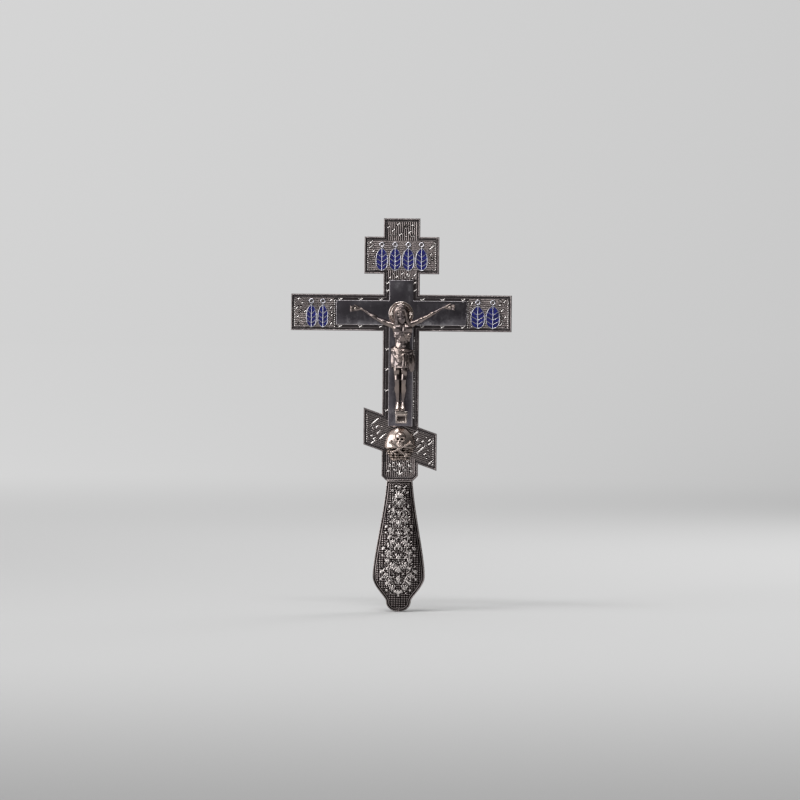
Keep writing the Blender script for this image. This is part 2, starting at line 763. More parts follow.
def neckLow(x):  # with the foot's cut corners
    cut = np.abs(x) - (inner - fieldLook["footCut"])
    return crossSize["neck"] + border + np.maximum(cut, 0)


def neckHigh(x):
    return slantLow(x) - 0.5 * fieldLook["gap"]


field("neck_field", -inner, inner, neckLow, neckHigh, neckStrokes, upright=True)
print("chased fields made")

# The rim is rounded by a half-sunk wire along the body's outline.
rimLook = {"inset": 0.6, "wire": 0.36, "out": 2.44, "chamfer": 3.5}


def rimCorners(way):
    size, inset = crossSize, rimLook["inset"]
    cut = rimLook["chamfer"] - (2 - math.sqrt(2)) * inset
    upright, upper = size["uprightHalf"] - inset, size["upperHalfLength"] - inset
    across, slanted = size["crossHalfLength"] - inset, size["slantHalfLength"] - inset
    top, foot = size["top"] - inset, size["neck"] + inset
    upperHigh, upperFoot = size["upperTop"] - inset, size["upperBottom"] + inset
    crossHigh, crossFoot = (size["crossMiddle"] + s * (size["crossHalfHeight"] - inset) for s in (1, -1))

    def slant(x, s):
        rise = size["slantHalfHeight"] - inset * math.hypot(1, size["slope"])
        return size["slantMiddle"] + s * rise - size["slope"] * way * x

    corners = [
        (0, top), (upright, top), (upright, upperHigh), (upper, upperHigh), (upper, upperFoot),
        (upright, upperFoot), (upright, crossHigh), (across, crossHigh), (across, crossFoot),
        (upright, crossFoot), (upright, slant(upright, 1)), (slanted, slant(slanted, 1)),
        (slanted, slant(slanted, -1)), (upright, slant(upright, -1)), (upright, foot + cut),
        (upright - cut, foot), (0, foot),
    ]
    return [Vector((way * x, z)) for x, z in corners]


def makeRim():
    parts = []
    for way in (-1, 1):
        corners = rimCorners(way)
        for start, end in zip(corners, corners[1:]):
            past = (end - start).normalized() * 0.5 * rimLook["wire"]
            ends = [(place.x, rimLook["out"], place.y) for place in (start - past, end + past)]
            parts.append(wire(ends, rimLook["wire"]))
    settle(joined(parts), "rounded_rim", rimSilver, smooth=50)


makeRim()

# Beads and small leaves along the borders.
beadLook = {
    "radius": 0.52, "deep": 0.55, "lift": 0.1, "pitch": 1.65, "endX": crossSize["overlayHalf"] + 1.1,
    "upperZ": 211.0, "upperHigh": 21.5, "shaftZ": 100, "shaftHigh": 62,
}
marginX = (inner + crossSize["overlaySide"]) / 2


def beadRow(x, z, high):
    radius, pitch = beadLook["radius"], beadLook["pitch"]
    out = crossSize["groundOut"] + beadLook["lift"]
    return shaped(
        blob(x, out, z, radius, beadLook["deep"], radius, segments=8), "ARRAY", count=int(high / pitch),
        use_relative_offset=False, use_constant_offset=True, constant_offset_displace=(0, 0, pitch * mm),
    )


def makeBeads():
    look = beadLook
    rows = [(x, armLow + 0.4, armHigh - armLow) for x in (-farX, -look["endX"], look["endX"], farX)]
    rows += [(x, slantLow(x) + 0.5, 2 * slantRise) for x in (-slantX - 0.1, slantX + 0.1)]
    rows += [(x, look["upperZ"], look["upperHigh"]) for x in (-upperX - 0.1, upperX + 0.1)]
    rows.append((marginX, look["shaftZ"], look["shaftHigh"]))
    beads = [beadRow(*row) for row in rows]
    settle(joined(beads), "border_beads", brightSilver, smooth=60)


marginLook = {
    "long": 1.5, "thick": 0.5, "tilt": -45, "in": 3.7, "arms": (-46.4, -30.8, -15.3, 16.2, 31.8, 47.4),
    "left": (150.4, 135.1, 119.1, 103.8), "head": (195.2, 201.0), "right": (156.5, 141.0, 126.0, 110.7, 98.0),
}


def makeBorderLeaves():
    look, out = marginLook, crossSize["groundOut"]
    long, thick, tilt = look["long"], look["thick"], look["tilt"]
    leafPart = joined(blobs(
        (-0.35, out + 0.15, -0.35, long, 0.55, thick, tilt, 12),
        (0.75, out + 0.15, 0.1, 0.8 * long, 0.5, 0.8 * thick, tilt, 12),
        (-1.5, out + 0.05, 0.2, 0.45, 0.45, 0.45, 0, 10),
    ))
    rise = crossSize["crossHalfHeight"] - look["in"]
    places = [(x, crossSize["crossMiddle"] + s * rise) for x in look["arms"] for s in (1, -1)]
    places += [(-marginX, z) for z in look["left"]]
    places += [(s * marginX, z) for z in look["head"] for s in (-1, 1)]
    stud = blob(0, out, 0, 0.85, 0.8, 0.7, 0, 14)
    parts = spread(leafPart, places) + spread(stud, [(marginX, z) for z in look["right"]])
    settle(joined(parts), "border_leaves", brightSilver, smooth=60)


makeBeads()
makeBorderLeaves()
print("rim, beads and border leaves made")

gripLook = {
    "bottom": -50.0, "neck": 50.0, "neckHalf": 9.8, "bellyHalf": 19.8, "waistHalf": 9.4, "belly": 27.0,
    "waist": 7.5, "depth": (4.4, 6.9, 4.1), "columns": 180, "rows": 420, "seam": 0.06, "inset": 2.6,
    "sunk": 0.15, "bead": (0.4, 0.5, 0.45), "line": (2.0, 0.36, 0.32),  # (middle, half width, rise)
    "ribs": {"pitch": 1.9, "rib": 0.36}, "pearl": 1.7, "pearled": 0.65,
}


def cubic(a, b, c, d, steps):
    made = []
    for i in range(steps + 1):
        t = i / steps
        shares = (1 - t) ** 3, 3 * t * (1 - t) ** 2, 3 * t * t * (1 - t), t ** 3
        made.append([sum(s * value for s, value in zip(shares, values)) for values in zip(a, b, c, d)])
    return made


# Half the grip's outline from its tip to its neck, and how far along it each place lies.
def gripSide():
    look = gripLook
    bottom, neck = look["bottom"], look["neck"]
    tip, waist = (0, bottom), (look["waistHalf"], bottom + look["waist"])
    belly, shoulder = (look["bellyHalf"], bottom + look["belly"]), (look["neckHalf"], neck)
    flank = neck - belly[1]
    under = (waist[0], waist[1] - 0.6 * look["waist"])
    low = cubic(tip, (0.55 * waist[0], bottom), under, waist, 60)
    middle = cubic(waist, (waist[0] + 0.2, waist[1] + 4), (belly[0], belly[1] - 8.5), belly, 60)
    above = (belly[0], belly[1] + 0.2 * flank)
    high = cubic(belly, above, (shoulder[0] + 1.7, neck - 0.34 * flank), shoulder, 120)
    points = np.array(low + middle[1:] + high[1:])
    along = np.concatenate([[0], np.cumsum(np.hypot(*np.diff(points, axis=0).T))])
    return points, along / along[-1]


def gripStrokes():
    drawn = []
    scrolls = (
        (-31.2, 5.4, 3.3, 1), (-22.6, 9.6, 3.5, -1), (-14.6, 4.6, 3.7, 1), (-4.8, 8.6, 3.3, -1),
        (3.6, 4.2, 3.3, 1), (12.4, 6.9, 2.8, -1), (20.2, 3.5, 2.6, 1), (27.8, 5.2, 2.2, -1),
        (34.6, 3, 1.9, 1),
    )
    for z, x, size, hand in scrolls:
        drawn.append(spiral(x, z, 90 * hand, 0.95, size, 0.36, hand))
        drawn += rosette(x, z, 0.66 * size)
        drawn += fan(x + 0.75 * size, z + 0.7 * size, 45, 0.85 * size, 4, 32)
        drawn += fan(x - 0.7 * size, z - 0.8 * size, -125, 0.7 * size, 3)
        drawn += fan(x + 0.85 * size, z - 0.55 * size, -35, 0.7 * size, 3)
    wave = [
        (1.2, -38), (6.8, -27.5), (6.6, -18.6), (8.6, -9.6), (5.8, -0.6), (7.2, 7.6), (4.8, 15.8), (6, 23),
        (2.2, 33),
    ]
    drawn.append(stem(wave, 0.4, 0.7))
    filling = random.Random(5)
    for z in np.arange(-35, 44, 2.1):  # small leaves that fill the ground between the scrolls
        reach = float(np.interp(z, (-36, -24, 8, 44), (7, 12.6, 8.6, 5.4)))
        for x in np.arange(1.6, reach, 2.5):
            drawn.append(leaf(
                x + filling.uniform(-0.6, 0.6), z + filling.uniform(-0.6, 0.6),
                filling.choice((40, 60, 120, -50, -120)), filling.uniform(1.5, 2.5),
                filling.uniform(0.3, 0.44),
            ))
    drawn += mirrored(drawn)
    for z in (-37, -27.5, -19, -10, -1.2, 7.6, 15.6, 23.4, 31):
        drawn += fan(0, z, 90, 4.2, 3, 26)
        drawn.append([(0, z - 0.8, 0.62)])
    drawn += fan(0, 37.5, 90, 5.2, 7, 30) + fan(0, 44.2, 90, 2.6, 5, 34)
    return drawn + sprigs(
        (4.6, 45.4, 3.4, 0.6), (3.4, 42.6, 2.6, 0.55), (-2.6, 45.8, 2.4), (6.2, 41, 2, 0.5),
        (-5.4, 43, 1.8, 0.45),
    )


# The height of a round bead along a line at some distance in from the outline.
def bead(edge, middle, half, high):
    return high * np.sqrt(np.clip(1 - ((edge - middle) / half) ** 2, 0, 1))


def gripHalf(strokes, hand):
    look, ribs = gripLook, gripLook["ribs"]
    side, along = gripSide()
    bpy.ops.mesh.primitive_grid_add(x_subdivisions=look["columns"], y_subdivisions=look["rows"], size=mm)
    piece = bpy.context.object
    places = readPlaces(piece) / mm + 0.5
    half = np.interp(places[:, 1], along, side[:, 0])
    z = np.interp(places[:, 1], along, side[:, 1])
    share = 2 * places[:, 0] - 1
    x = share * half
    stops = (look["bottom"] - 2, look["bottom"] + look["belly"], look["neck"] + 2)
    swell = np.array(smoothThrough(zip(stops, look["depth"]), 40))
    out = np.interp(z, swell[:, 0], swell[:, 1]) * np.sqrt(1 - (share / 1.2) ** 2)
    rim = [(way * far, high) for way in (1, -1) for far, high in side]
    tree = treeOf(rim + [(look["neckHalf"] * (k / 20 - 1), look["neck"]) for k in range(41)])
    edge = np.array([tree.find((a, b, 0))[2] for a, b in zip(x, z)])
    rise = chased(x, z, strokes, {**fieldLook, **ribs}, x)
    pearls = 0.5 + 0.5 * np.cos(2 * math.pi * z / look["pearl"])
    rise = np.where(rise < ribs["rib"], rise * (1 - look["pearled"] * pearls), rise)
    inside = np.clip((edge - look["inset"]) / 0.4, 0, 1)
    outline, line = bead(edge, *look["bead"]), bead(edge, *look["line"])
    sunk = look["sunk"] * (1 - inside) * (edge > look["bead"][0])
    out = out - sunk + rise * inside + outline + line
    writePlaces(piece, np.stack([x * hand, -hand * out, z], 1) * mm)
    worn = np.maximum(rise * inside, np.maximum(0.85 * outline, line))
    keepWorn(piece, worn / fieldLook["crest"])
    cleaned(piece, 0.002)
    closeBehind(piece, hand * look["seam"])
    return cleaned(piece, 0.002)


gripLines = gripStrokes()
for side, hand in (("front", 1), ("back", -1)):
    half = gripHalf(gripLines, hand)
    settle(half, f"grip_{side}", gripSilver, (f"handle_{side}_shell",), 60)
print("grip made")

haloLook = {
    "radius": 9.5, "z": 177.2, "sides": 96, "ray": (6.4, 9.0), "rayWide": 0.36, "rayOff": 0.55, "rayOut": 0.8,
    "profile": (  # distance in from the rim, height over the overlay
        (0.15, 0), (0, 0.2), (0, 1.2), (0.12, 1.42), (0.35, 1.5), (0.6, 1.4), (0.75, 0.8), (0.9, 0.62),
        (1.5, 0.6), (1.65, 0.9), (1.85, 1.12), (2.05, 1.14), (2.25, 0.9), (2.4, 0.7), (2.6, 0.66), (9.2, 0.9),
        (9.45, 0.9),
    ),
}


def makeHalo():
    look = haloLook
    under = crossSize["overlayOut"]
    profile = [(look["radius"] - inset, under + high) for inset, high in look["profile"]]
    parts = [turnedPiece(profile, 0, look["z"], look["sides"])]
    near, far = look["ray"]
    for angle in (0, 90, 180):
        turn = math.radians(angle)
        for off in (-look["rayOff"], look["rayOff"]):
            points = []
            for reach in (near, (near + far) / 2, far):
                x = reach * math.cos(turn) - off * math.sin(turn)
                z = look["z"] + reach * math.sin(turn) + off * math.cos(turn)
                points.append((x, under + look["rayOut"], z))
            parts.append(wire(points, look["rayWide"]))
    settle(joined(parts), "halo_disc", haloSilver, ("halo",), 50)


makeHalo()
print("halo made")

# The corpus is drawn in its own frame, at the crossbar's middle on the overlay.
figureLook = {
    "skinVoxel": 0.33, "clothVoxel": 0.29, "endVoxel": 0.23, "headVoxel": 0.165, "armX": 8.1, "wrist": 31.05,
    "palm": 36.05, "footShift": -1.0, "hands": {-1: 3.0, 1: 4.6}, "shoulders": {-1: -9.4, 1: -8.3},
    "sag": {-1: 1.3, 1: 0.5}, "bow": (12, -8), "headSize": 1.06, "head": (-0.8, 7.4, -0.4), "strands": 7,
}


def placed(piece, x=0, out=0, z=0, scale=1, lean=(0, 0)):
    only(piece)
    piece.location = spot(x, out, z)
    piece.scale = (scale, scale, scale)
    piece.rotation_euler = (math.radians(lean[0]), math.radians(lean[1]), 0)
    bpy.ops.object.transform_apply(location=True, rotation=True, scale=True)
    return piece


# Presses soft hollows into the front of a skin; each is (x, z, wide, high, depth).
# A depth below zero raises the skin instead.
def pressed(piece, hollows, lowest=-99):
    places = readPlaces(piece) / mm
    facing = np.clip(-readPlaces(piece, "normal")[:, 1] * 1.6, 0, 1)
    for x, z, wide, high, depth in hollows:
        near = np.exp(-((places[:, 0] - x) / wide) ** 2 - ((places[:, 2] - z) / high) ** 2)
        places[:, 1] += depth * near * facing * (-places[:, 1] > lowest)
    writePlaces(piece, places * mm)


# Moves all that lies behind a plane onto it; the plane lies at some distance out.
def flatBehind(piece, out):
    places = readPlaces(piece)
    places[:, 1] = np.minimum(places[:, 1], -out * mm)
    writePlaces(piece, places)


def makeTorso():
    parts = [limb([
        (-0.5, 4.6, -3.6, 1.9, 1.9), (-0.4, 4.5, -5.8, 2.2, 2.2), (-0.2, 4.4, -7.2, 3.6, 2.6),
        (0.1, 4.6, -8.7, 6.3, 3.1), (0.3, 4.9, -10.6, 7.4, 3.7), (0.3, 5.0, -13, 7.5, 4.0),
        (0.3, 5.0, -16, 7.1, 4.0), (0.3, 4.7, -19, 6.3, 3.5), (0.3, 4.2, -22.4, 5.5, 3.0),
        (0.2, 4.1, -25.5, 5.9, 3.3), (0.2, 4.1, -29, 6.8, 3.7), (0.2, 4.0, -34, 7.0, 3.9),
    ], sides=16)]
    for s in (-1, 1):
        parts += blobs(
            (0.3 + s * 3.4, 7.0, -12.0, 3.9, 1.8, 2.7, -14 * s),  # breast
            (0.3 + s * 5.8, 5.4, -12.8, 1.9, 2.0, 3.8, 12 * s),  # below the armpit
            (0.3 + s * 3.9, 6.1, -17.0, 3.0, 2.2, 3.4, 18 * s),  # ribs
        )
        for k in range(3):  # the belly's muscles
            parts.append(blob(0.3 + s * 1.4, 7.05 - 0.4 * k, -17.6 - 2.3 * k, 1.5, 1.2, 1.3))
        collarbone = (
            (0.3 + s * 0.6, 6.9, -8.6), (s * 2.6, 7.4, -8.9), (s * 5.2, 6.9, -8.6), (s * 7.0, 6.2, -9.0),
        )
        neckCord = (s * 2 - 0.5, 4.8, -4.4), (s * 1.3 - 0.3, 6, -6.4), (s * 0.5 + 0.2, 6.9, -8.4)
        parts += wires((0.55, *collarbone), (0.55, *neckCord))
    return parts + [blob(0.3, 6.4, -24.6, 3.0, 1.5, 2.6)]


def torsoHollows():
    made = [(0.3, -12.6, 0.7, 2.6, 0.5), (0.3, -19.8, 0.6, 3.8, 0.4), (0.3, -25.2, 0.6, 0.6, 0.7)]
    for s in (-1, 1):
        made.append((0.3 + s * 3.3, -14.9, 2.4, 0.7, 0.45))
        for k in range(5):  # the arch of the lowest ribs
            made.append((0.3 + s * (1.0 + 0.95 * k), -16.4 - 1.3 * k, 0.8, 0.9, 0.4))
        for low, reach in ((-16.4, 3.2), (-18.0, 4.2), (-19.6, 5.0)):  # between the ribs
            for k in range(4):
                made.append((0.3 + s * (reach + 0.8 * k), low + 0.28 * k, 0.7, 0.36, 0.26))
    return made


def makeArm(s):
    look = figureLook
    start, wrist, height = look["armX"], look["wrist"], look["hands"][s]
    root, sag = look["shoulders"][s], look["sag"][s]

    def along(share, wide, deep, lift=0.0, forward=0.0):
        x = s * (start + (wrist - start) * share)
        z = root + (height - 0.3 - root) * share - sag * math.sin(math.pi * share)
        return (x, 4.8 - 2.4 * share + forward, z + lift, wide, deep)

    parts = [limb([
        (s * 4.6, 4.7, root - 1.0, 3.0, 2.9), (s * 6.4, 4.8, root - 0.5, 3.0, 3.0), along(0, 2.75, 2.8),
        along(0.08, 2.35, 2.45), along(0.18, 2.15, 2.2), along(0.3, 2.15, 2.15), along(0.4, 1.8, 1.8),
        along(0.48, 1.55, 1.6), along(0.56, 1.7, 1.75), along(0.64, 1.75, 1.75), along(0.76, 1.45, 1.45),
        along(0.9, 1.1, 1.1), along(1, 0.95, 0.95), (s * (wrist + 1.8), 2.2, height, 1.15, 1.0),
    ], along="x")]
    tilt = -s * math.degrees(math.atan2(height - root, wrist - start))
    muscles = (-0.02, 2.8, 0.7, 1.0), (0.24, 3.4, 0.4, 0.8), (0.6, 3.2, 0.4, 0.6), (0.27, 3.0, -0.7, 0.3)
    for share, long, lift, forward in muscles:
        x, out, z, *_ = along(share, 0, 0, lift, forward)
        parts.append(blob(x, out, z, long, 1.5, 1.45, tilt))
    return parts


def makeHand(s):
    def at(x, out, z, *more):
        return (s * (figureLook["palm"] + x), out, figureLook["hands"][s] + z, *more)

    parts = [limb([
        at(-4.4, 2.3, -0.1, 1.05, 0.95), at(-2.6, 2.2, 0, 1.6, 1.05), at(-0.6, 2.1, 0, 2.1, 1.2),
        at(1.3, 2.1, 0, 2.15, 1.05), at(2.3, 2.2, 0, 1.8, 0.8),
    ], along="x")]
    for up in (-1.55, -0.52, 0.52, 1.5):  # fingers, curled towards the front
        parts += wires((
            0.54, at(0.8, 2.4, up), at(2.7, 2.9, 1.15 * up), at(3.8, 3.8, 1.25 * up),
            at(3.7, 4.8, 1.2 * up - 0.3, 0.9), at(2.7, 5.1, 1.1 * up - 0.4, 0.7),
        ))
    return parts + wires((0.62, at(-2.4, 2.6, 0.9), at(-1.1, 3.2, 2.1), at(0.6, 3.8, 2.6, 0.85)))


def makeLoincloth():
    parts = [
        limb([
            (0.3, 4.2, -27.0, 6.4, 3.9), (0.3, 4.4, -28.6, 7.2, 4.6), (0.2, 4.6, -31.5, 7.5, 4.9),
            (0.0, 4.8, -35, 7.1, 4.8), (-0.2, 4.9, -38, 6.8, 4.7), (-0.3, 5.0, -40.4, 6.6, 4.6),
            (-0.4, 5.0, -41.4, 6.2, 4.2),
        ], sides=16),
        limb([  # cloth behind the hanging folds, at the left and at the right
            (-6.7, 5.0, -29, 1.7, 1.3), (-7.0, 5.0, -34, 1.8, 1.5), (-7.1, 4.8, -39, 1.8, 1.5),
            (-6.9, 4.6, -41.6, 1.5, 1.2),
        ]),
        limb([
            (6.8, 4.8, -29, 2.0, 1.4), (7.6, 4.2, -34, 2.3, 1.6), (7.9, 3.9, -39, 2.3, 1.5),
            (7.4, 3.6, -43.6, 1.8, 1.1),
        ]),
    ]
    for k in range(4):  # the gathered band, from the left hip down to the middle and up to the right hip
        parts += wires((
            0.8, (-7.6, 3.8 + 0.3 * k, -26.2 - 1.1 * k, 0.8), (-6.2, 6.6, -26.6 - 1.25 * k, 1.2),
            (-3.2, 8.7 - 0.1 * k, -28.2 - 1.0 * k, 1.15), (0.6, 9.2, -29.8 - 0.55 * k),
            (4.0, 8.5, -30.2 - 0.3 * k), (6.9, 6.2, -29.6 - 0.3 * k, 0.9), (8.3, 4.2, -28.9 - 0.3 * k, 0.7),
        ))
    parts += wires((0.7, (6.6, 5.8, -29.4), (8.6, 4.4, -28.6), (9.8, 3.4, -27.6, 0.5)))
    for k in range(4):  # folds that hang in arcs from the left hip
        parts += wires((
            0.62, (-6.7 + 0.4 * k, 6.6 + 0.3 * k, -31.0), (-5.6 + 0.4 * k, 8.0, -33.4 - 0.95 * k),
            (-3.2 + 0.2 * k, 9.2, -34.6 - 1.15 * k), (-0.6, 9.7, -34.0 - 0.8 * k),
            (1.0 - 0.2 * k, 9.6, -32.2 - 0.3 * k),
        ))
    parts += wires(
        (0.85, (1.5, 9.6, -31), (1.8, 9.6, -34.4), (1.6, 9.3, -37.8), (1.3, 9.2, -41.2)),
        (0.75, (3.3, 8.9, -31.2), (3.6, 8.8, -35), (3.2, 8.7, -41.2)),
        (0.8, (5.2, 7.7, -31.2), (5.4, 7.6, -35), (4.9, 7.4, -41.2)),
    )
    leftEnd = (-7.9, 4.2, -42.4), (-7.0, 5.8, -41.6), (-5.9, 7.2, -41.2)
    for x, out, low in leftEnd:
        parts += wires((
            0.85, (x + 0.9, out + 0.4, -29.6), (x + 0.1, out, -33.5), (x - 0.2, out, -37.5),
            (x + 0.1, out - 0.2, low, 0.8),
        ))
    rightEnd = (9.0, 3.2, -44.4), (8.1, 4.4, -45.2), (7.0, 5.4, -44.6), (6.0, 6.2, -43.0)
    for x, out, low in rightEnd:
        parts += wires((
            0.85, (x - 1.6, out + 0.8, -29.4), (x - 0.3, out + 0.2, -33.5), (x + 0.2, out, -38),
            (x - 0.2, out - 0.4, low + 1.2), (x - 1.0, out - 0.8, low, 0.7),
        ))
    parts.append(blob(-6.5, 6.0, -28.4, 2.3, 1.8, 1.6, -30))
    return parts + wires(  # the knot's loops and the hem
        (0.7, (-8.2, 5.0, -27.0), (-7.2, 7.2, -27.6), (-5.6, 8.3, -29.6), (-5.0, 8.2, -31.4, 0.7)),
        (0.7, (-5.0, 6.8, -25.6, 0.7), (-6.2, 7.4, -27.2), (-7.3, 6.8, -29.6), (-7.4, 5.6, -31.4, 0.7)),
        (
            0.5, (6.2, 5.4, -41.0), (4.2, 8.0, -41.4), (1.3, 9.2, -41.7), (-1.8, 9.3, -41.8),
            (-4.7, 8.2, -41.4), (-6.8, 5.6, -41.0),
        ),
    )


def makeLeg(s):
    lean = figureLook["footShift"]
    parts = [limb([
        (s * 3.2 - 0.5, 4.3, -31, 3.6, 3.7), (s * 3.2 - 0.7, 4.6, -36, 3.5, 3.8),
        (s * 3.0 - 0.8, 4.9, -40, 3.3, 3.6), (s * 2.8 - 0.9, 5.4, -44.5, 2.8, 3.1),
        (s * 2.55 + lean, 5.8, -48.2, 2.4, 2.6), (s * 2.4 + lean, 6.1, -51.3, 2.35, 2.5),
        (s * 2.3 + lean, 5.6, -53.6, 2.05, 2.2), (s * 2.35 + lean, 5.1, -56.5, 2.2, 2.35),
        (s * 2.25 + lean, 4.5, -60, 2.1, 2.3), (s * 2.0 + lean, 3.9, -63.6, 1.6, 1.8),
        (s * 1.85 + lean, 3.4, -66.6, 1.35, 1.55), (s * 1.85 + lean, 3.0, -69.2, 1.4, 1.65),
    ])]
    for x, *rest in (  # knee, thigh, calf and ankle
        (2.4, 7.1, -50.8, 1.9, 1.45, 2.1), (2.4, 6.6, -47.8, 1.8, 1.4, 2.0), (3.3, 6.6, -43.6, 1.9, 2.3, 5.0),
        (1.8, 6.9, -43.0, 1.6, 1.9, 4.4), (3.1, 4.3, -57.6, 1.6, 2.2, 4.0), (1.5, 4.4, -57.2, 1.4, 2.0, 3.6),
        (0.8, 3.5, -67.7, 0.65, 0.85, 0.75), (3.0, 3.3, -68.1, 0.65, 0.85, 0.75),
    ):
        parts.append(blob(s * x + lean, *rest))
    return parts


def makeFoot(s):
    lean = figureLook["footShift"]
    parts = [limb([
        (s * 1.85 + lean, 2.4, -66.6, 1.45, 1.65), (s * 1.95 + lean, 4.0, -69.6, 1.7, 1.75),
        (s * 2.05 + lean, 5.6, -72.0, 2.0, 1.45), (s * 2.1 + lean, 7.2, -73.7, 2.1, 1.05),
        (s * 2.15 + lean, 8.0, -74.3, 1.8, 0.7),
    ])]
    toes = (0, 0.56), (0.15, 0.44), (0.05, 0.41), (-0.2, 0.38), (-0.55, 0.35)
    for k, (reach, size) in enumerate(toes):
        parts += wires((
            size, (s * (0.75 + 0.7 * k) + lean, 7.2 + reach, -73.2),
            (s * (0.7 + 0.73 * k) + lean, 8.3 + reach, -74.0),
            (s * (0.68 + 0.75 * k) + lean, 8.9 + reach, -74.5, 0.9),
        ))
    return parts


# Strands of hair over a lock: they run along its sections, around the side that shows.
def strandsOver(s, sections, count, thick):
    parts = []
    for k in range(count):
        turn = math.radians(-70 + 150 * k / (count - 1))
        points = []
        for i, (x, out, z, wide, deep) in enumerate(sections):
            angle = turn + 0.22 * math.sin(1.9 * i + 1.3 * k)
            side, front = 0.93 * wide * math.sin(angle), 0.93 * deep * math.cos(angle)
            points.append((s * (x + side), out + front, z, 1 if i < len(sections) - 1 else 0.5))
        parts.append(wire(points, thick))
    return parts


def makeHead():
    brows = (-2.4, 2.6, 1.3, 0.7), (-1.3, 3.6, 1.65), (0, 3.75, 1.45), (1.3, 3.6, 1.65), (2.4, 2.6, 1.3, 0.7)
    nose = (0, 3.6, 1.5, 0.7), (0, 3.95, 0.6, 0.8), (0, 4.4, -0.3), (0, 4.75, -0.8, 1.1), (0, 4.1, -1.15, 0.9)
    parts = [
        limb([
            (0, 1.3, -5.2, 1.0, 0.9), (0, 1.1, -4.3, 1.9, 1.8), (0, 0.8, -2.8, 2.5, 2.6),
            (0, 0.5, -0.8, 2.95, 3.25), (0, 0.2, 1.4, 3.15, 3.55), (0, 0, 3.4, 2.9, 3.2),
            (0, -0.1, 4.9, 1.9, 2.2), (0, -0.2, 5.5, 0.8, 0.9),
        ], sides=16),
        *wires((0.42, *brows), (0.42, *nose)),
        *blobs((0, 3.55, -2.0, 0.95, 0.5, 0.26, 0, 14), (0, 3.5, -2.4, 0.8, 0.5, 0.3, 0, 14)),  # lips
        limb([
            (0, 1.9, -1.9, 2.5, 1.5), (0, 2.2, -3.2, 2.5, 1.7), (0, 2.4, -4.8, 2.0, 1.5),
            (0, 2.3, -6.2, 1.4, 1.1), (0, 2.2, -7.4, 0.6, 0.5),
        ], sides=14),
        blob(0, -0.5, 2.9, 4.1, 3.9, 3.5, segments=28),
    ]
    for s in (-1, 1):
        parts += blobs(  # eye, cheek and nostril
            (s * 1.25, 3.0, 0.6, 0.78, 0.55, 0.42, 0, 14), (s * 1.7, 2.3, -0.7, 1.1, 0.95, 1.2, 0, 14),
            (s * 0.42, 4.0, -0.95, 0.34, 0.4, 0.3, 0, 12),
        )
        parts += wires((0.36, (s * 0.1, 3.9, -1.65, 0.8), (s * 0.9, 3.7, -1.9), (s * 1.6, 3.1, -2.7, 0.7)))
        for k in range(5):  # beard
            x = s * (0.25 + 0.5 * k)
            parts += wires((
                0.33, (x, 3.9 - 0.2 * k, -2.9), (x * 1.05 + 0.1 * s, 4.1 - 0.27 * k, -4.2),
                (x * 0.9, 3.9 - 0.27 * k, -5.6), (x * 0.5, 3.2, -7.5 + 0.32 * k, 0.5),
            ))
        lock = [
            (1.4, 0.4, 5.2, 1.3, 1.9), (2.8, 0.4, 3.8, 1.2, 2.1), (3.4, 0.2, 1.2, 1.2, 2.2),
            (3.4, 0.2, -1.8, 1.35, 2.2), (3.6, 0.4, -4.6, 1.6, 2.2), (4.4, 0.7, -7.4, 1.6, 1.9),
            (5.3, 1.1, -10, 0.8, 0.9),
        ]
        parts.append(limb([(s * x, *rest) for x, *rest in lock]))
        parts += strandsOver(s, lock, figureLook["strands"], 0.42)
        for k in range(7):  # hair combed from the parting over the crown
            points = []
            for i in range(4):
                fall, turn = math.radians(3 + 28 * i), math.radians(18 + 23 * k - 12 * i)
                out = -0.5 + 3.95 * math.cos(fall) * math.cos(turn)
                z = 2.8 + 3.6 * math.cos(fall) * math.sin(turn)
                points.append((s * 4.1 * math.sin(fall), out, z))
            parts.append(wire(points, 0.5))
    skin = melted(parts, figureLook["headVoxel"], 2)
    lids = (1.05, 0.75, 0.2, 0.22), (0.3, 0.7, 0.16, 0.16)
    hollows = [(s * 1.25, *lid) for s in (-1, 1) for lid in lids]
    pressed(skin, [*hollows, (0, -2.25, 0.8, 0.09, 0.18)], 2.2)  # the last one parts the lips
    return placed(skin, *figureLook["head"], figureLook["headSize"], figureLook["bow"])


def makeCorpus():
    look = figureLook
    parts, ends = makeTorso(), []
    for s in (-1, 1):
        parts += makeLeg(s) + makeArm(s)
        ends += makeHand(s) + makeFoot(s)
    skin = melted(parts, look["skinVoxel"], 5)
    pressed(skin, torsoHollows(), 4.5)
    cloth = melted(makeLoincloth(), look["clothVoxel"], 2)
    figure = joined([skin, cloth, melted(ends, look["endVoxel"], 1), makeHead()])
    placed(figure, crossSize["figureX"], crossSize["overlayOut"], crossSize["crossMiddle"])
    flatBehind(figure, crossSize["overlayOut"] + 0.02)
    settle(figure, "corpus_figure", warmSilver, ("corpus",), 75)


makeCorpus()
print("corpus made")

footrestLook = {
    "half": 4.6, "top": 103.0, "ledge": 100.1, "bottom": 94.0, "front": 11.3, "boxFront": 9.9, "boxHalf": 4.2,
    "frame": 0.95, "recess": 1.7, "slope": 18, "bevel": 0.34,
}


def cuboid(left, right, low, high, near, far):
    middle = spot((left + right) / 2, (near + far) / 2, (low + high) / 2)
    bpy.ops.mesh.primitive_cube_add(size=mm, location=middle)
    piece = bpy.context.object
    piece.scale = (right - left, far - near, high - low)
    return joined([piece])


def pickFaces(piece, wanted):
    only(piece)
    bpy.ops.object.mode_set(mode="EDIT")
    bpy.ops.mesh.select_mode(type="FACE")
    bpy.ops.mesh.select_all(action="DESELECT")
    bpy.ops.object.mode_set(mode="OBJECT")
    for face in piece.data.polygons:
        face.select = wanted(face)
    bpy.ops.object.mode_set(mode="EDIT")


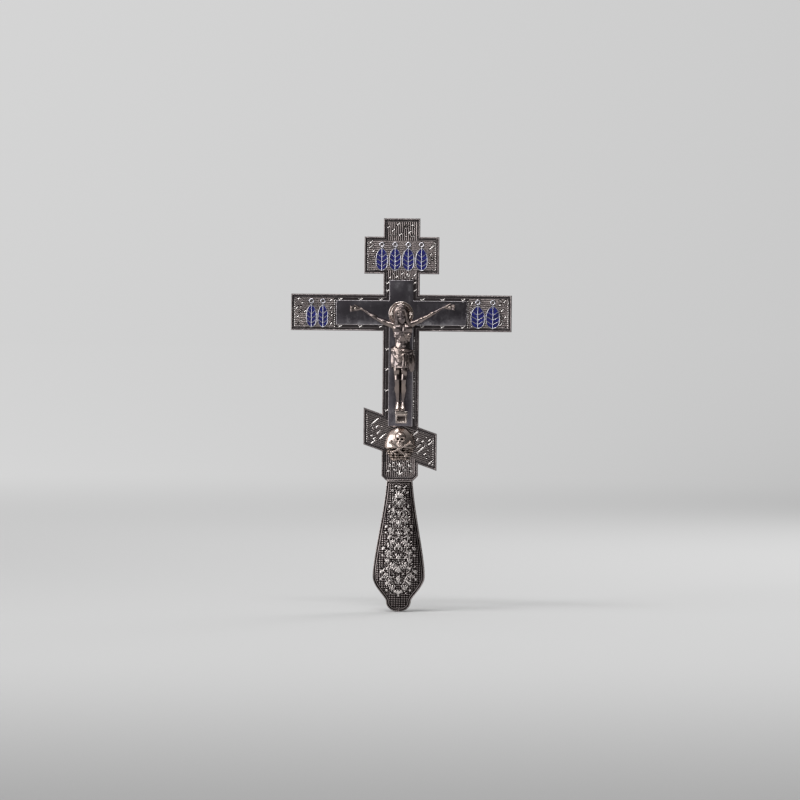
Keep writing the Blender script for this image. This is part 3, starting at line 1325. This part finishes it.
# A ledge over a box whose framed front has a sunken, sloping field.
def makeFootrest():
    look = footrestLook
    x, out, half, boxHalf = crossSize["figureX"], crossSize["overlayOut"], look["half"], look["boxHalf"]
    low, high = look["bottom"], look["ledge"] + 0.3
    ledge = cuboid(x - half, x + half, look["ledge"], look["top"], out, look["front"])
    box = cuboid(x - boxHalf, x + boxHalf, low, high, out, look["boxFront"])
    pickFaces(box, lambda face: face.normal.y < -0.9)
    bpy.ops.mesh.inset(thickness=look["frame"] * mm)
    bpy.ops.mesh.extrude_region_move(TRANSFORM_OT_translate={"value": (0, look["recess"] * mm, 0)})
    middle = spot(x, look["boxFront"] - look["recess"], (low + high) / 2)
    bpy.ops.transform.rotate(value=math.radians(look["slope"]), orient_axis="X", center_override=middle)
    bpy.ops.object.mode_set(mode="OBJECT")
    for part in (ledge, box):
        shaped(part, "BEVEL", width=look["bevel"] * mm, segments=3, limit_method="ANGLE")
    settle(joined([ledge, box]), "footrest_block", footrestSilver, ("footrest",), 50)


pinLook = {
    "shaft": 0.55, "sides": 24, "handSeat": 3.3, "footSeat": 5.4,
    "head": ((1.05, 0), (1.05, 0.22), (0.97, 0.42), (0.72, 0.6), (0.36, 0.68), (0.04, 0.7)),
    "hands": ((-figureLook["palm"], 181.0), (figureLook["palm"], 182.6)),
    "feet": ((figureLook["footShift"] - 2.0, 107.4), (figureLook["footShift"] + 2.0, 107.4)),
}


def makePins(kind, sideways, seat):
    look, middle = pinLook, crossSize["figureX"]
    seat += crossSize["overlayOut"]
    shaft = [(look["shaft"], -crossSize["faceOut"]), (look["shaft"], seat)]
    head = [(radius, seat + high) for radius, high in look["head"]]
    places = [(middle + x, z) for x, z in sideways]
    pins = spread(turnedPiece(shaft + head, 0, 0, look["sides"]), places)
    for pin, side in zip(pins, ("left", "right")):
        name = f"{kind}_nail_{side}"
        settle(pin, name, pinSilver, (f"{kind}_pin_{side}",), 40)


makeFootrest()
makePins("hand", pinLook["hands"], pinLook["handSeat"])
makePins("foot", pinLook["feet"], pinLook["footSeat"])
print("footrest and nails made")

# The mound with its skull and crossed bones.
moundLook = {
    "ground": 75.6, "half": 12.0, "deep": 6.6, "high": 15.4, "base": 10.8, "baseHalf": 7.6, "layers": 5,
    "voxel": 0.18, "skull": 0.4, "polish": 0.66, "stone": (0.26, 0.4),
}


def makeSkull(x, out, z):
    def at(side, forward, up, *more):
        return (x + side, out + forward, z + up, *more)

    parts = [
        *blobs(at(0, -0.2, 2.3, 4.2, 3.7, 4.1, 0, 32), at(0, 0.6, 0.4, 3.5, 2.9, 2.6, 0, 24)),
        limb([
            at(0, 0.9, -0.6, 2.5, 2.1), at(0, 1.2, -2.0, 2.1, 1.9), at(0, 1.3, -3.4, 1.8, 1.6),
            at(0, 1.2, -4.6, 1.5, 1.2),
        ], sides=14),
    ]
    parts += wires((  # brows
        0.5, at(-2.7, 2.0, 1.5, 0.8), at(-1.4, 3.2, 1.7), at(0, 3.2, 1.3), at(1.4, 3.2, 1.7),
        at(2.7, 2.0, 1.5, 0.8),
    ))
    for s in (-1, 1):  # cheekbones and jaw
        parts += blobs(at(s * 2.4, 2.1, -0.7, 1.1, 0.9, 0.7, 0, 14))
        parts += wires((
            0.55, at(s * 1.9, 1.6, -2.0), at(s * 1.9, 1.4, -3.8), at(s * 0.9, 2.2, -4.9), at(0, 2.5, -5.0),
        ))
    for k in range(-2, 3):  # teeth
        parts += blobs(at(0.62 * k, 3.0 - 0.12 * k * k, -2.6, 0.3, 0.4, 0.55, 0, 10))
    return parts


def makeBone(fromX, fromZ, toX, toZ, out):
    runs, rises = toX - fromX, toZ - fromZ
    length = math.hypot(runs, rises)
    aside, up = 0.75 * rises / length, 0.75 * runs / length
    shaft = [(fromX + share * runs, out + 0.2, fromZ + share * rises, 0.85) for share in (0.25, 0.75)]
    parts = [wire([(fromX, out, fromZ, 1.3), *shaft, (toX, out, toZ, 1.3)], 0.72)]
    for x, z in ((fromX, fromZ), (toX, toZ)):
        for s in (-1, 1):  # two knuckles at each end
            parts.append(blob(x - s * aside, out + 0.1, z + s * up, 0.95, 0.85, 0.95, segments=14))
    return parts


# Layers of rocks under the dome, narrower towards the foot.
def makeRocks():
    look, parts = moundLook, []
    drawn = random.Random(11)
    for layer in range(look["layers"]):
        share = layer / (look["layers"] - 1)
        half = look["half"] + (look["baseHalf"] - look["half"]) * share
        thick = look["deep"] * (0.72 - 0.34 * share)
        z = -0.9 - layer * (look["base"] - 1.4) / (look["layers"] - 0.4)
        count = 5 - layer // 2
        for k in range(count):
            x = half * (2 * (k + 0.5) / count - 1) * 0.86 + drawn.uniform(-0.5, 0.5)
            wide = half / count * drawn.uniform(1.15, 1.5)
            fall = math.sqrt(max(0.15, 1 - (x / (half * 1.12)) ** 2))
            deep = thick * fall * drawn.uniform(0.86, 1.08)
            up, high, tilt = drawn.uniform(-0.3, 0.3), drawn.uniform(1.15, 1.5), drawn.uniform(-9, 9)
            parts.append(blob(x, 0, z + up, wide, deep, high, tilt))
    return parts


def makeMound():
    look = moundLook
    dome = blob(0, 0, 0, look["half"], look["deep"], look["high"], segments=48)
    only(dome)
    bpy.ops.object.mode_set(mode="EDIT")
    bpy.ops.mesh.select_all(action="SELECT")
    bpy.ops.mesh.bisect(plane_co=(0, 0, -0.4 * mm), plane_no=(0, 0, 1), clear_inner=True, use_fill=True)
    bpy.ops.object.mode_set(mode="OBJECT")
    front = 0.75 * look["deep"]
    parts = [dome, *makeRocks(), *makeSkull(look["skull"], front, 5.6)]
    parts += makeBone(-5.9, -4.2, 8.6, 3.5, front + 1.5)
    parts += makeBone(-7.2, 4.2, 5.0, -6.5, front + 0.9)
    mound = melted(parts, look["voxel"], 2)
    places = readPlaces(mound) / mm
    normals = readPlaces(mound, "normal")
    rocky = np.clip(-(places[:, 2] + 0.2) / 1.2, 0, 1) * (-places[:, 1] < front + 0.4)
    rough = np.array([noise.fractal(Vector(place) * 0.55, 0.8, 2.1, 4) for place in places])
    places += normals * (0.42 * rough * rocky)[:, None]
    writePlaces(mound, places * mm)
    low, high = look["stone"]
    stone = low + high * np.clip(rough + 0.5, 0, 1)
    keepWorn(mound, look["polish"] + (stone - look["polish"]) * rocky)
    middle = look["skull"]
    eyes = [(middle + s * 1.6, 6.1, 0.95, 0.85, 1.9) for s in (-1, 1)]
    gaps = [(middle + 0.62 * (k + 0.5), 3.0, 0.08, 0.5, 0.25) for k in range(-2, 2)]
    pressed(mound, [*eyes, (middle, 4.2, 0.45, 0.75, 1.2), *gaps], 6)
    flatBehind(mound, -0.02)
    placed(mound, 0, crossSize["groundOut"], look["ground"])
    settle(mound, "skull_mound", moundSilver, ("golgotha_mound",), 75)


makeMound()
print("mound made")

# An enamelled leaf has a wire wall, veins, a ring above and a fill of enamel.
leafLook = {
    "crown": 2.72, "vein": 0.2, "veins": 3, "fill": 2.42, "ring": 1.6, "ringWire": 0.5, "ringOut": 0.7,
}
leafGroups = {
    "upper": {"x": 0, "bottom": 209.55, "count": 4, "width": 9.4, "height": 18.6, "gap": 0.7},
    "left": {"x": -64.2, "bottom": 165.95, "count": 2, "width": 8.2, "height": 18.6, "gap": 0.6},
    "right": {"x": 64.2, "bottom": 165.95, "count": 2, "width": 10.9, "height": 18.6, "gap": 0.6},
}


# The leaf's outline as a Bezier ring, drawn in by an inset and turned to face the front.
def leafRing(out, width, height, inset):
    half, low, high = width / 2 - inset, 1.9 * inset, height - 1.9 * inset
    corners = [
        ((0, low), (-0.7 * half, low + 0.06 * height), (0.7 * half, low + 0.06 * height)),
        ((half, 0.44 * height), (half, low + 0.12 * height), (half, 0.78 * height)),
        ((0, high), (0.55 * half, high - 0.09 * height), (-0.55 * half, high - 0.09 * height)),
        ((-half, 0.44 * height), (-half, 0.78 * height), (-half, low + 0.12 * height)),
    ]
    bpy.ops.curve.primitive_bezier_circle_add(location=spot(0, out, 0), rotation=(math.pi / 2, 0, 0))
    ring = bpy.context.object
    for point, (here, before, after) in zip(ring.data.splines[0].bezier_points, corners):
        point.handle_left_type = point.handle_right_type = "FREE"
        point.co = (here[0] * mm, here[1] * mm, 0)
        point.handle_left = (before[0] * mm, before[1] * mm, 0)
        point.handle_right = (after[0] * mm, after[1] * mm, 0)
    ring.data.resolution_u = 12
    return ring


def meshed(curve):
    only(curve)
    bpy.ops.object.convert(target="MESH")
    return joined([bpy.context.object])


# Half the width of a leaf's inside at some height.
def leafSpan(width, height, z):
    share = min(1, max(0, z / height))
    return (width / 2 - 0.6) * max(0, math.sin(math.pi * share ** 0.85)) ** 0.8


def leafCell(width, height):
    look = leafLook
    ring = leafRing(look["crown"] - 0.55, width, height, 0.3)
    ring.data.extrude = 0.3 * mm
    ring.data.bevel_depth = 0.25 * mm
    ring.data.bevel_resolution = 2
    ring.data.fill_mode = "FULL"
    out, vein = look["fill"] + 0.1, look["vein"]
    midrib = (0, out, 0.7, 1.2), (0, out, 0.5 * height, 1.2), (0, out, height - 0.8)
    parts = [meshed(ring), *wires((vein, *midrib))]
    for k in range(look["veins"]):
        rise = height * (0.2 + 0.19 * k)
        span = leafSpan(width, height, rise + 2.2)
        for s in (-1, 1):
            bend, tip = (s * 0.5 * span, out, rise + 1.0), (s * span, out, rise + 2.6, 0.8)
            parts += wires((vein, (0, out, rise), bend, tip))
    ringZ = height + look["ring"] + look["ringWire"] - 0.2
    bpy.ops.mesh.primitive_torus_add(
        major_radius=look["ring"] * mm, minor_radius=look["ringWire"] * mm, major_segments=28,
        minor_segments=10, location=spot(0, crossSize["groundOut"] + look["ringOut"], ringZ),
        rotation=(math.pi / 2, 0, 0),
    )
    parts.append(joined([bpy.context.object]))
    return joined(parts)


def leafFill(width, height):
    ring = leafRing(crossSize["groundOut"] + 0.3, width, height, 0.5)
    ring.data.dimensions = "2D"
    ring.data.fill_mode = "BOTH"
    ring.data.extrude = 0.3 * mm
    ring.data.bevel_depth = 0.12 * mm
    ring.data.offset = -0.12 * mm
    ring.data.bevel_resolution = 2
    return meshed(ring)


def makeLeaves(group, look):
    pitch = look["width"] + look["gap"]
    first = look["x"] - (look["count"] - 1) * pitch / 2
    places = [(first + i * pitch, look["bottom"]) for i in range(look["count"])]
    cells = spread(leafCell(look["width"], look["height"]), places)
    fills = spread(leafFill(look["width"], look["height"]), places)
    for i, (cell, fill) in enumerate(zip(cells, fills), 1):
        settle(cell, f"{group}_leaf_{i}", cellSilver, (f"{group}_cell_{i}",), 50)
        settle(fill, f"{group}_glaze_{i}", cobaltEnamel, (f"{group}_enamel_{i}",), 50)


for group, look in leafGroups.items():
    makeLeaves(group, look)
print("enamelled leaves made")

stageLook = {
    "radius": 40.0, "height": -50.05, "shade": (0.44, 0.74), "lampFoot": (-1.0, -0.75, 0), "pool": (0.3, 2.2),
    "fade": (0.5, 3.0), "dim": 0.06, "bright": 0.7, "lean": (-0.6, 0.3, 0.48), "spread": (-0.6, 0.6),
}


# The room is a soft gradient, lighter at the upper left than at the lower right.
def roomLevel(finish, way):
    look = stageLook
    side = finish.node("VectorMath", {"operation": "DOT_PRODUCT"}, {0: way, 1: look["lean"]}, "Value")
    return look["dim"] + finish.between(side, *look["spread"]) * (look["bright"] - look["dim"])


def makeRoom():
    world = bpy.data.worlds.new("studio")
    bpy.context.scene.world = world
    world.use_nodes = True
    room = Finish(None, world.node_tree)
    way = room.node("TexCoord", output="Generated")
    light = room.node("Background", {}, {"Color": (1, 1, 1, 1), "Strength": roomLevel(room, way)})
    output = room.tree.nodes.new("ShaderNodeOutputWorld")
    room.tree.links.new(light.socket, output.inputs["Surface"])


# The floor is even in tone near the cross and turns into the room's own tone far away.
def makeStage():
    look = stageLook
    bpy.ops.mesh.primitive_circle_add(
        vertices=96, radius=look["radius"], fill_type="NGON", location=(0, 0, look["height"] * mm)
    )
    floor = joined([bpy.context.object])
    floor.name = "floor"
    finish = Finish("floor")
    reach = finish.node("VectorMath", {"operation": "LENGTH"}, {0: finish.place}, "Value")
    ends = {0: finish.place, 1: look["lampFoot"]}
    away = finish.node("VectorMath", {"operation": "DISTANCE"}, ends, "Value")
    way = finish.node("VectorMath", {"operation": "NORMALIZE"}, {0: finish.place}, "Vector")
    far = finish.between(reach, *look["fade"])
    low, high = ((value,) * 3 + (1,) for value in look["shade"])
    black = (0, 0, 0, 1)
    shade = finish.blend(far, finish.blend(finish.between(away, *look["pool"]), low, high), black)
    rays = ("Is Camera Ray", "Is Glossy Ray", "Is Transmission Ray")
    seen = [finish.node("LightPath", {}, {}, kind) for kind in rays]
    glow = finish.blend(far * (seen[0] + seen[1] + seen[2]), black, roomLevel(finish, way))
    floor.data.materials.append(finish.surface(
        {
            "Base Color": shade, "Roughness": 0.9, "Specular IOR Level": 0.0, "Emission Color": glow,
            "Emission Strength": 1.0,
        },
        metal=False,
    ))


lamps = {
    "leftSoftbox": {"place": (-1.2, -0.75, 0.47), "size": (1.05, 1.0), "light": 4.2},
    "topSoftbox": {"place": (-0.2, -0.55, 1.25), "size": (0.8, 0.25), "light": 11},
    "backSoftbox": {"place": (1.1, 1.4, 0.8), "size": (0.8, 0.8), "light": 4},
}


def makeLamps():
    aim = Vector((0, 0, 0.12))
    for name, look in lamps.items():
        place = Vector(look["place"])
        wide, high = look["size"]
        turn = (aim - place).to_track_quat("-Z", "Y").to_euler()
        bpy.ops.object.light_add(type="AREA", location=place, rotation=turn)
        lamp = bpy.context.object
        lamp.name = name
        lamp.data.shape = "RECTANGLE"
        lamp.data.size, lamp.data.size_y = wide, high
        lamp.data.energy = look["light"] * math.pi * wide * high


cameraLook = {
    "azimuth": 3.0, "elevation": 1.0, "roll": 0.57, "distance": 3.2, "width": 0.6107,
    "aim": (-0.0004, 0, 0.1115),
}


def makeCamera():
    look = cameraLook
    azimuth, elevation = math.radians(look["azimuth"]), math.radians(look["elevation"])
    level = math.cos(elevation)
    back = Vector((math.sin(azimuth) * level, -math.cos(azimuth) * level, math.sin(elevation)))
    place = Vector(look["aim"]) + back * look["distance"]
    bpy.ops.object.camera_add(location=place, rotation=back.to_track_quat("Z", "Y").to_euler())
    camera = bpy.context.object
    camera.rotation_euler.rotate_axis("Z", math.radians(look["roll"]))
    camera.data.sensor_width = 36
    camera.data.lens = 36 * look["distance"] / look["width"]
    camera.data.clip_start, camera.data.clip_end = 0.1, 100
    bpy.context.scene.camera = camera


makeRoom()
makeStage()
makeLamps()
makeCamera()
bpy.context.scene.view_settings.view_transform = "Standard"
print("stage made")
